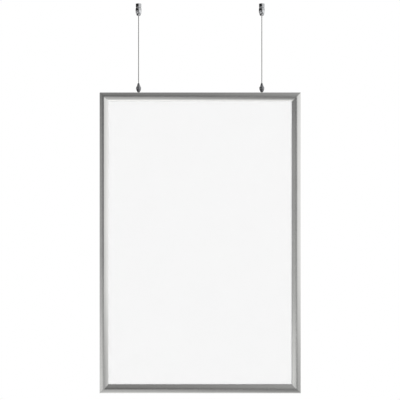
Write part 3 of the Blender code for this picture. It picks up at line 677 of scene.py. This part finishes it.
print("rail tree of", len(rail_tree.nodes), "nodes")

# %% [markdown]
# One tree makes all eight rails, front and back. Each is grown lying along X, then its mesh is
# turned so that its face looks outwards and its foot lies towards the poster. The frame's outline
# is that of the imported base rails. A rail's place is in its mesh, and its object sits at the
# origin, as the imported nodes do.

# %% Grow the eight rails
frame_left, frame_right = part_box("base_rail_left")[0].x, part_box("base_rail_right")[1].x
frame_bottom, frame_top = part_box("base_rail_bottom")[0].z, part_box("base_rail_top")[1].z
frame_width, frame_height = frame_right - frame_left, frame_top - frame_bottom
frame_middle = Vector((0, 0, (frame_top + frame_bottom) / 2))
INWARD = {"top": (0, 0, -1), "bottom": (0, 0, 1), "left": (1, 0, 0), "right": (-1, 0, 0)}
OUTWARD = {"front": (0, -1, 0), "back": (0, 1, 0)}
for side_name, inward in INWARD.items():
    level = side_name in ("top", "bottom")
    inward = Vector(inward)
    length = frame_width if level else frame_height
    depth = frame_height if level else frame_width
    for face_name, outward in OUTWARD.items():
        outward = Vector(outward)
        name = f"snap_rail_{face_name}_{side_name}"
        finish = ALUMINIUM["across" if level else "upright"]
        mesh = grown(f"{name}_fine", flat_section(), rail_tree, length=length, material=finish)
        turn = Matrix((inward.cross(outward), inward, outward)).transposed().to_4x4()
        mesh.transform(Matrix.Translation(frame_middle - inward * depth / 2) @ turn)
        rounded_off(mesh)
        show(f"{name}_fine", mesh, name, "anodised_aluminium", name)
size = round(frame_width / MM, 1), round(frame_height / MM, 1)
print("8 snap rails of", len(mesh.polygons), "faces round a frame of", *size, "mm")

# %% [markdown]
# ## The turned fittings
# The ceiling fittings and grippers are turned on a lathe from brass bar, polished and plated. A
# lathe can be copied exactly: draw half of the outline, and turn it about its axis. Each point of
# the outline becomes a ring, or stays one point if it lies on the axis, and each line between two
# points becomes a band of faces. An outline that touches the axis starts and ends on it, and the
# line between its two ends makes no band. Polish and plating round every edge a little, so the
# same easing as on the rails is used, but a corner that lies on the axis is no edge of the turned
# piece and stays.

# %% A lathe
LATHE_EASE = 0.25
LATHE_STEPS = 96


def spun(name, profile, x, plate):
    """Turns a closed outline of (radius, height) in millimetres about the upright axis at x."""
    on_axis = [point for point in profile if point[0] == 0]
    outline = anticlockwise(eased(profile, LATHE_EASE, steps=4, keep=on_axis))
    points, rings = [], []
    for radius, height in outline:
        turns = [math.tau * i / LATHE_STEPS for i in range(LATHE_STEPS if radius else 1)]
        rings.append(range(len(points), len(points) + len(turns)))
        points += [(radius * math.cos(t), radius * math.sin(t), height) for t in turns]
    bands = list(zip(rings, rings[1:] + rings[:1]))
    faces = []
    for one, other in bands[:-1] if on_axis else bands:
        for i in range(LATHE_STEPS):
            # A point met twice counts once, so a band that ends on the axis has triangles.
            corners = [(one, i), (one, i + 1), (other, i + 1), (other, i)]
            faces.append(tuple(dict.fromkeys(ring[k % len(ring)] for ring, k in corners)))
    mesh = bpy.data.meshes.new(name)
    mesh.from_pydata([(x + u * MM, v * MM, w * MM) for u, v, w in points], [], faces)
    mesh.materials.append(plate)
    return rounded_off(mesh)


print("the lathe cuts a corner back by up to", LATHE_EASE, "mm")

# %% [markdown]
# Four outlines make the fittings, each a closed line of (radius, height) in millimetres, with its
# bore. The base is a disc with a spigot and a hole for its screw. The barrel hangs on the spigot
# like an acorn cap turned over: widest not quite a third of the way down, then a rounded fall to
# the rope's mouth. The gripper is a pear with a cavity for the spring, and the nipple is a bored
# cone with a flange that keeps it in.

# %% Draw the four outlines
CEILING_BASE = [(2.25, 0), (9.85, 0), (9.85, -11.6), (8.45, -13)]
CEILING_BASE += [(5, -13), (5, -21), (4.2, -21), (2.25, -19.05)]

NIPPLE = [(1.55, -283.5), (2.8, -283.5), (4.2, -288), (4.2, -297.3)]
NIPPLE += [(5.5, -297.3), (5.5, -299.3), (1.55, -299.3)]

BARREL_RIM, BARREL_WIDEST, BARREL_MOUTH = (9.6, -14.7), (10.7, -22.06), (4.246, -42.5)
PEAR_RIM, PEAR_WIDEST, PEAR_FOOT = (5.3, -291), (9, -301.374), (4.3, -315.7)
CURVE_STEPS = 20


def between(start, end, out, down):
    """The point that has gone a share of the way out and a share of the way down."""
    return (start[0] + (end[0] - start[0]) * out, start[1] + (end[1] - start[1]) * down)


def barrel_outline():
    """From the rim under the base down the outside, and up the rope's cone and the stop's cup."""
    outline = [(8.2, -13.3)]
    for i in range(CURVE_STEPS):
        down = i / CURVE_STEPS
        out = math.sin(math.pi / 2 * down)
        outline.append(between(BARREL_RIM, BARREL_WIDEST, out, down))
    for i in range(CURVE_STEPS + 1):
        turn = math.pi / 2 * i / CURVE_STEPS
        outline.append(between(BARREL_WIDEST, BARREL_MOUTH, 1 - math.cos(turn), math.sin(turn)))
    outline += [(3.346, -42.5), (2.695, -40.7), (3.55, -39.4), (3.8, -38.02)]
    return outline + [(3.8, -21.3), (5.3, -21.3), (5.3, -13.3)]


def pear_outline():
    """From the spring cavity's floor up to the rim, down the outside, and up the stud's hole."""
    outline = [(0, -308.7), (5.8, -308.7), (5.8, -297), (4.5, -297), (4.5, -291)]
    for i in range(CURVE_STEPS):
        down = i / CURVE_STEPS
        out = math.sin(math.pi / 2 * down) ** 2
        outline.append(between(PEAR_RIM, PEAR_WIDEST, out, down))
    for i in range(CURVE_STEPS + 1):
        down = i / CURVE_STEPS
        out = 1 - math.cos(math.pi / 2 * down)
        outline.append(between(PEAR_WIDEST, PEAR_FOOT, out, down))
    return outline + [(1.8, -315.7), (1.8, -311.7), (0, -311.7)]


print("outlines of", len(barrel_outline()), "and", len(pear_outline()), "points")

# %% [markdown]
# Each fitting is spun once for the left rope and once for the right. The ceiling's pieces stand
# still, the grippers ride with the ropes, and each nipple rides on its own body, because it can be
# pressed.

# %% Spin the chromed pieces
# The grippers and nipples take the chrome with painted shade.
for hand, x in SIDES.items():
    for name, outline, body, plate in (
        ("ceiling_base", CEILING_BASE, "ceiling_fittings", CHROME),
        ("ceiling_barrel", barrel_outline(), "ceiling_fittings", CHROME),
        ("gripper_body", pear_outline(), "suspension", SHADED_CHROME),
        ("release_nipple", NIPPLE, f"release_nipple_{hand}", SHADED_CHROME),
    ):
        mesh = spun(f"{name}_{hand}_fine", outline, x, plate)
        show(mesh.name, mesh, body, "chromed_brass", f"{name}_{hand}")
        print(mesh.name, len(mesh.polygons), "faces")

# %% [markdown]
# ## The release springs
# Under each nipple sits a coil spring of 0.8 mm wire, which pushes it back up. A coil is a spiral
# with a wire's section swept along it, so a tree makes it from its wire, its radius, its turns and
# its height. When the nipple goes down, the spring closes up towards the floor of its cavity by
# the same 2.5 mm.

# %% Build the coil's tree
SPRING_WIRE = 0.8 * MM
SPRING_WIDTH = 11.0 * MM
SPRING_TURNS = 4.0
SPRING_FLOOR, SPRING_HEAD = -308.4 * MM, -299.6 * MM
STEPS_PER_TURN = 40
WIRE_SIDES = 12

coil_tree, coil_in = geometry_tree(
    "coil_spring",
    [
        ("Wire", "Float", SPRING_WIRE),
        ("Radius", "Float", (SPRING_WIDTH - SPRING_WIRE) / 2),
        ("Turns", "Float", SPRING_TURNS),
        ("Height", "Float", SPRING_HEAD - SPRING_FLOOR - SPRING_WIRE),
        ("Material", "Material", None),
    ],
)
wound = node(
    coil_tree,
    "GeometryNodeCurveSpiral",
    ("Resolution", STEPS_PER_TURN),
    ("Rotations", coil_in.outputs["Turns"]),
    ("Start Radius", coil_in.outputs["Radius"]),
    ("End Radius", coil_in.outputs["Radius"]),
    ("Height", coil_in.outputs["Height"]),
)
half_wire = node(
    coil_tree, "ShaderNodeMath", (0, coil_in.outputs["Wire"]), (1, 0.5), operation="MULTIPLY"
)
wire_round = node(
    coil_tree,
    "GeometryNodeCurvePrimitiveCircle",
    ("Resolution", WIRE_SIDES),
    ("Radius", half_wire),
)
coil = node(
    coil_tree,
    "GeometryNodeCurveToMesh",
    ("Curve", wound),
    ("Profile Curve", wire_round),
    ("Fill Caps", True),
)
close_tree(coil_tree, coil, coil_in.outputs["Material"])
print("coil tree of", len(coil_tree.nodes), "nodes")

# %% [markdown]
# The coil rides with its gripper, on a mesh of its own.

for hand, x in SIDES.items():
    name = f"nipple_spring_{hand}"
    mesh = grown(f"{name}_fine", bpy.data.meshes.new(name), coil_tree, material=STEEL)
    mesh.transform(Matrix.Translation((x, 0, SPRING_FLOOR + SPRING_WIRE / 2)))
    rounded_off(mesh, WIRE_ANGLE)
    piece = show(f"{name}_fine", mesh, "suspension", "stainless_steel", name)
    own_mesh(piece)

# %% [markdown]
# ## The floor
# The frame hangs in a room 2.4 m high, so the pale floor is far below the picture and shows only
# in views from above. It glows a little for the camera, more and more towards its rim, where it
# meets the white room without an edge, as a studio's curved backdrop does. The lamps stand low, so
# the floor lets their light pass, and it is clear from below, because otherwise it would hide the
# frame in a view from there.

# %% Lay the floor
FLOOR_HEIGHT = -2400 * MM
FLOOR_RADIUS = 4000 * MM
FLOOR_SIDES = 96
FLOOR_COLOUR, FLOOR_ROUGHNESS = "#F2F2F2", 0.9
GLOW_FROM, GLOW_RISE = 0.46, 0.24
RISE_FROM, RISE_TO = 0.25, 0.95

bpy.ops.mesh.primitive_circle_add(
    vertices=FLOOR_SIDES, radius=FLOOR_RADIUS, fill_type="NGON", location=(0, 0, FLOOR_HEIGHT)
)
floor = bpy.context.object
floor.name = "floor"
pale = bpy.data.materials.new("pale_floor")
pale.use_nodes = True
floor_tree = pale.node_tree
painted = floor_tree.nodes["Principled BSDF"]
painted.inputs["Base Color"].default_value = linear(FLOOR_COLOUR)
painted.inputs["Roughness"].default_value = FLOOR_ROUGHNESS
painted.inputs["Emission Color"].default_value = (1, 1, 1, 1)
floor_place = node(floor_tree, "ShaderNodeTexCoord").outputs["Object"]
outwards = node(floor_tree, "ShaderNodeVectorMath", (0, floor_place), operation="LENGTH")
glow = node(
    floor_tree,
    "ShaderNodeMapRange",
    ("Value", outwards.outputs["Value"]),
    ("From Min", FLOOR_RADIUS * RISE_FROM),
    ("From Max", FLOOR_RADIUS * RISE_TO),
    ("To Min", GLOW_FROM),
    ("To Max", GLOW_FROM + GLOW_RISE),
    interpolation_type="SMOOTHSTEP",
)
seen_floor = node(floor_tree, "ShaderNodeLightPath").outputs["Is Camera Ray"]
seen_glow = node(floor_tree, "ShaderNodeMath", (0, glow), (1, seen_floor), operation="MULTIPLY")
floor_tree.links.new(seen_glow.outputs[0], painted.inputs["Emission Strength"])
clear_below = node(
    floor_tree,
    "ShaderNodeMixShader",
    (0, node(floor_tree, "ShaderNodeNewGeometry").outputs["Backfacing"]),
    (1, painted),
    (2, node(floor_tree, "ShaderNodeBsdfTransparent").outputs[0]),
)
floor_tree.links.new(clear_below.outputs[0], floor_tree.nodes["Material Output"].inputs["Surface"])
floor.data.materials.append(pale)
floor.visible_shadow = False
floor.visible_glossy = False
print("floor", -FLOOR_HEIGHT, "m below the ceiling")

# %% [markdown]
# ## The room that metal sees
# Bright metal has hardly a colour of its own: it shows the room, so the room is drawn as a
# photographer would build it. What a ray meets depends on how far it points right and up, each
# from -1 to 1, so the room is the same before and behind the frame. It is dim round the lens and
# lighter to both sides. Two of its quarters are lighter, the upper right and the lower left, and
# the other two are darker. So the faces that look right are light down to the last quarter of the
# frame's height, where the faces that look left take over, as in the photograph. The rails mirror
# only what is near their own level or straight above and below them. In the corners that they
# never see hangs a black card on the left, which draws the dark stripe down the chromed fittings.

# %% Hang the cards
world = bpy.data.worlds.new("studio")
bpy.context.scene.world = world
world.use_nodes = True
world.cycles.sampling_method = "NONE"
sky = world.node_tree
sky.nodes.clear()
sky_place = node(sky, "ShaderNodeTexCoord").outputs["Generated"]
towards = node(sky, "ShaderNodeSeparateXYZ", (0, sky_place)).outputs
right, up = towards["X"], towards["Z"]

# Each card: the way it is met, where it starts and where it is whole, and its light at those two.
CARDS = {
    "right": (right, 0.08, 0.4, 0.0, 0.45),
    "left": (right, -0.02, -0.55, 0.0, 0.54),
    "above": (up, 0.15, 0.7, 0.0, 0.07),
    "below": (up, -0.1, -0.6, 0.0, 0.25),
    "ground": (up, -0.7, -0.86, 0.0, 0.8),
    "quarters": (up, 0.1, 0.2, 0.34, 0.16),
    "window": (right, 0.55, 1.0, 0.0, 0.28),
    "window_top": (up, 0.1, 0.18, 1.0, 0.0),
    "black": (right, -0.3, -0.12, 0.95, 0.0),
    "black_top": (up, 0.45, 0.65, 1.0, 0.0),
}
SMOOTH = {"interpolation_type": "SMOOTHSTEP"}
card = {}
for name, (way, *ends) in CARDS.items():
    card[name] = node(sky, "ShaderNodeMapRange", ("Value", way), *zip(SPAN, ends), **SMOOTH)
print(len(card), "cards hung")

# %% [markdown]
# The light of the first five is added up over the dim grey round the lens. The quarters are light
# or dark by the sign of two things: whether the ray points right, and whether it points above the
# level where they change over, which the rails mirror a quarter of the way up the frame. A
# hyperbolic tangent is such a sign with a soft edge. A window far on the right reaches up from the
# ground to a little above the level.

# %% Add up their light
LENS_CARD = 0.24
CHANGE_LEVEL = -0.14
SIDE_EDGE, LEVEL_EDGE = 6.5, 35.0

added = ("right", "left", "above", "below", "ground")
seen = LENS_CARD
for name in added:
    seen = node(sky, "ShaderNodeMath", (0, seen), (1, card[name]), operation="ADD")
aside = node(sky, "ShaderNodeMath", (0, right), (1, SIDE_EDGE), operation="MULTIPLY")
aside = node(sky, "ShaderNodeMath", (0, aside), operation="TANH")
over = node(sky, "ShaderNodeMath", (0, up), (1, CHANGE_LEVEL), operation="SUBTRACT")
over = node(sky, "ShaderNodeMath", (0, over), (1, LEVEL_EDGE), operation="MULTIPLY")
over = node(sky, "ShaderNodeMath", (0, over), operation="TANH")
both = node(sky, "ShaderNodeMath", (0, aside), (1, over), operation="MULTIPLY")
terms = [(both, card["quarters"]), (card["window"], card["window_top"])]
for one, other in terms:
    seen = node(sky, "ShaderNodeMath", (0, one), (1, other), (2, seen), operation="MULTIPLY_ADD")
print("light of", len(added) + len(terms), "kinds added")

# %% [markdown]
# The black card on the left takes light away, but not near the level that the rails mirror. The
# camera's lens looks through a dark hole, a little above the level.

# %% Take away what is dark
RAIL_LEVEL, RAIL_BAND = -0.07, (0.165, 0.215)
LENS_LEVEL, LENS_EDGE, LENS_LIGHT = 0.1, (0.06, 0.25), 0.2
DARKEST = 0.01

dark = node(
    sky, "ShaderNodeMath", (0, card["black"]), (1, card["black_top"]), operation="MULTIPLY"
)
off_level = node(sky, "ShaderNodeMath", (0, up), (1, RAIL_LEVEL), operation="SUBTRACT")
off_level = node(sky, "ShaderNodeMath", (0, off_level), operation="ABSOLUTE")
ends = zip(SPAN, (*RAIL_BAND, 0.0, 1.0))
off_level = node(sky, "ShaderNodeMapRange", ("Value", off_level), *ends, **SMOOTH)
dark = node(sky, "ShaderNodeMath", (0, dark), (1, off_level), operation="MULTIPLY")
left_over = node(sky, "ShaderNodeMath", (0, 1.0), (1, dark), operation="SUBTRACT")
seen = node(sky, "ShaderNodeMath", (0, seen), (1, left_over), operation="MULTIPLY")

flat = node(sky, "ShaderNodeCombineXYZ", ("X", right), ("Z", up))
from_lens = node(
    sky, "ShaderNodeVectorMath", (0, flat), (1, (0, 0, LENS_LEVEL)), operation="DISTANCE"
).outputs["Value"]
ends = zip(SPAN, (*LENS_EDGE, LENS_LIGHT, 1.0))
hole = node(sky, "ShaderNodeMapRange", ("Value", from_lens), *ends, **SMOOTH)
seen = node(sky, "ShaderNodeMath", (0, seen), (1, hole), operation="MULTIPLY")
seen = node(sky, "ShaderNodeMath", (0, seen), (1, DARKEST), operation="MAXIMUM")
print("room drawn with", len(sky.nodes), "nodes")

# %% [markdown]
# ## The light
# The camera sees a white room, also through a clear sheet. Everything matt is lit by an even pale
# room and two soft lamps, one before the frame and one behind it. Both stand low on the right, so
# the thin shadows fall along the inner edges of the right and bottom rails.
# The lamps are left out of the mirror-like rays, because the greys above already hold all that
# metal shows.

# %% Light the room
ROOM_FILL = 0.36
LAMP = 2.58
LAMP_SPREAD = math.radians(20)
LAMP_FROM = Vector((0.5, -1.0, -0.45))
LAMP_DISTANCE = 2.0

# White where the camera looks, the greys in mirror-like rays, and an even fill in the rest.
ray = node(sky, "ShaderNodeLightPath").outputs
camera_ray, clear_ray, mirror_ray = (
    ray[f"Is {kind} Ray"] for kind in ("Camera", "Transmission", "Glossy")
)
in_view = node(sky, "ShaderNodeMath", (0, camera_ray), (1, clear_ray), operation="MAXIMUM")
mirrored = ("A", ROOM_FILL), ("B", seen), ("Factor", mirror_ray)
strength = node(sky, "ShaderNodeMix", *mirrored)
strength = node(sky, "ShaderNodeMix", ("A", strength), ("B", 1.0), ("Factor", in_view))
room = node(sky, "ShaderNodeBackground", ("Color", (1, 1, 1, 1)), ("Strength", strength))
node(sky, "ShaderNodeOutputWorld", ("Surface", room))

for place, facing in (("front", 1), ("back", -1)):
    lamp = bpy.data.lights.new(f"soft_lamp_{place}", "SUN")
    lamp.energy = LAMP
    lamp.angle = LAMP_SPREAD
    holder = bpy.data.objects.new(f"soft_lamp_{place}", lamp)
    bpy.context.collection.objects.link(holder)
    shine_from = Vector((LAMP_FROM.x, facing * LAMP_FROM.y, LAMP_FROM.z))
    holder.location = shine_from * LAMP_DISTANCE
    holder.rotation_euler = shine_from.to_track_quat("Z", "Y").to_euler()
    holder.visible_glossy = False
    print(holder.name, "shines from", [round(c, 2) for c in shine_from])
